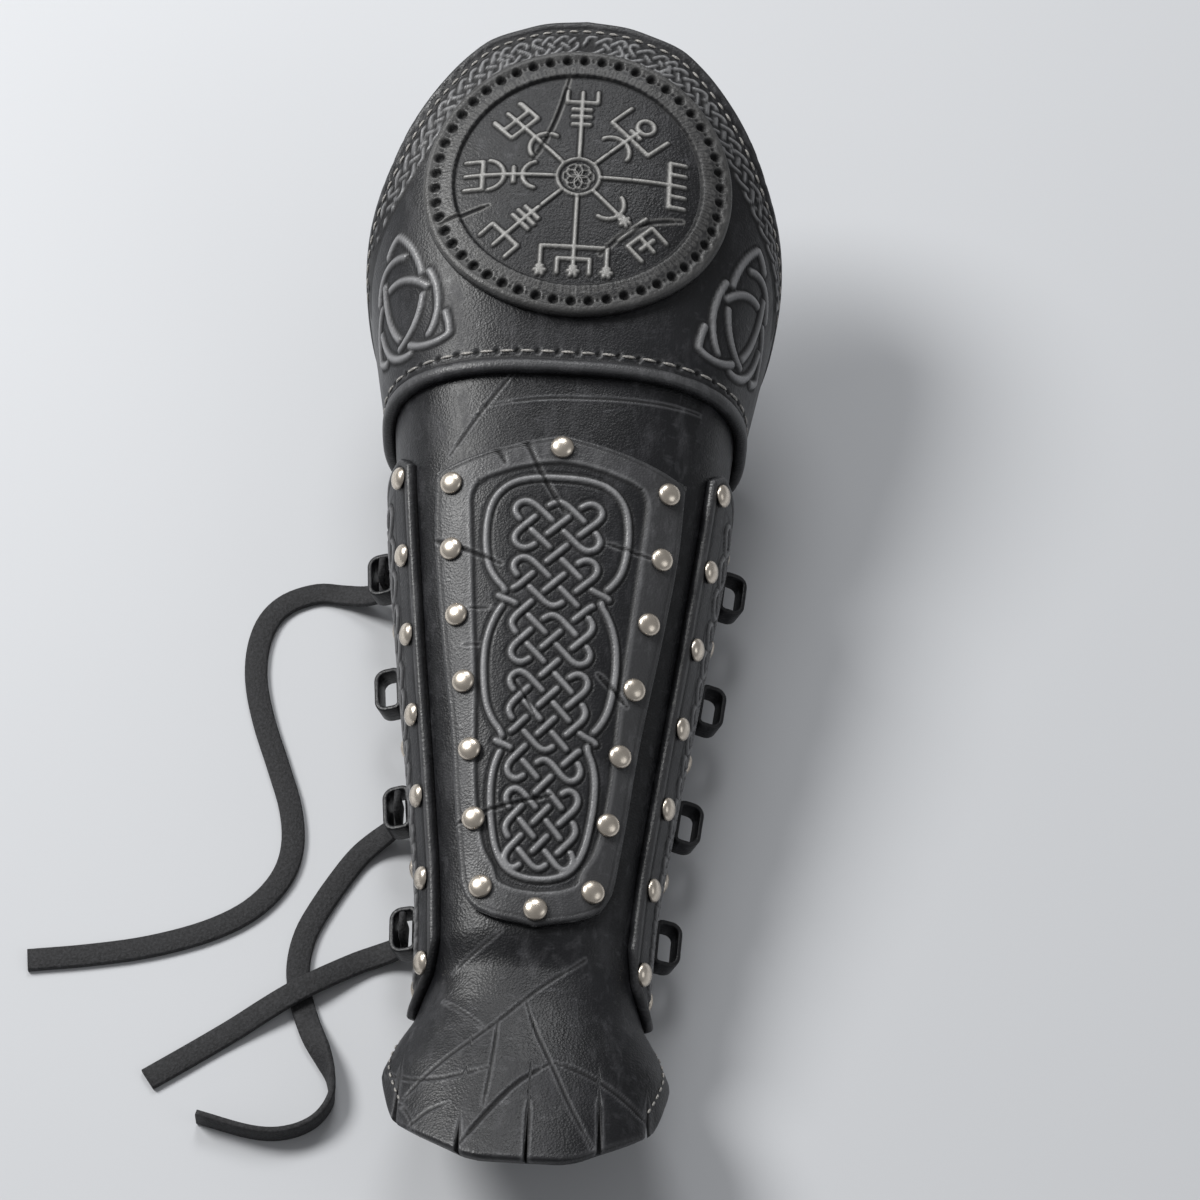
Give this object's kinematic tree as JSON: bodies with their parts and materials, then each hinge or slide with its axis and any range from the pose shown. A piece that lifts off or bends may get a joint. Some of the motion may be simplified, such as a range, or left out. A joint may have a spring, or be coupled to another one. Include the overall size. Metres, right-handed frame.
{
  "type": "leather bracer with an elbow cuff, one of a pair",
  "caption": "Black leather forearm bracer with a flared elbow cuff, round stave-compass medallion, riveted knotwork panels, lace keepers, loose laces and a hand tongue.",
  "frame": {"origin": "middle of the box under the bracer without its loose laces, on the surface that it lies on", "axes": "+Y runs up the arm from the hand tongue to the elbow, +Z points away from the front of the arm, and +X to the viewer's right"},
  "size_m": [0.2465, 0.4203, 0.115],
  "materials": {
    "plain_leather": "satin",
    "carved_leather": "satin, carved",
    "lace_leather": "matte",
    "nickel": "polished"
  },
  "bodies": {
    "root": {"shell": "plain_leather", "elbow_cuff": "carved_leather", "medallion": "carved_leather", "front_panel": "carved_leather", "side_panel_left": "carved_leather", "side_panel_right": "carved_leather", "keeper_left_1": "plain_leather", "keeper_left_2": "plain_leather", "keeper_left_3": "plain_leather", "keeper_left_4": "plain_leather", "keeper_right_1": "plain_leather", "keeper_right_2": "plain_leather", "keeper_right_3": "plain_leather", "keeper_right_4": "plain_leather", "rivet_front_left_1": "nickel", "rivet_front_left_2": "nickel", "rivet_front_left_3": "nickel", "rivet_front_left_4": "nickel", "rivet_front_left_5": "nickel", "rivet_front_left_6": "nickel", "rivet_front_left_7": "nickel", "rivet_front_right_1": "nickel", "rivet_front_right_2": "nickel", "rivet_front_right_3": "nickel", "rivet_front_right_4": "nickel", "rivet_front_right_5": "nickel", "rivet_front_right_6": "nickel", "rivet_front_right_7": "nickel", "rivet_front_bottom": "nickel", "rivet_front_top": "nickel", "rivet_left_front_1": "nickel", "rivet_left_front_2": "nickel", "rivet_left_front_3": "nickel", "rivet_left_front_4": "nickel", "rivet_left_front_5": "nickel", "rivet_left_front_6": "nickel", "rivet_left_front_7": "nickel", "rivet_left_rear_1": "nickel", "rivet_left_rear_2": "nickel", "rivet_left_rear_3": "nickel", "rivet_left_rear_4": "nickel", "rivet_left_rear_5": "nickel", "rivet_right_front_1": "nickel", "rivet_right_front_2": "nickel", "rivet_right_front_3": "nickel", "rivet_right_front_4": "nickel", "rivet_right_front_5": "nickel", "rivet_right_front_6": "nickel", "rivet_right_front_7": "nickel", "rivet_right_rear_1": "nickel", "rivet_right_rear_2": "nickel", "rivet_right_rear_3": "nickel", "rivet_right_rear_4": "nickel", "rivet_right_rear_5": "nickel", "lace_top": "lace_leather", "lace_middle": "lace_leather", "lace_bottom": "lace_leather"}
  },
  "joints": []
}
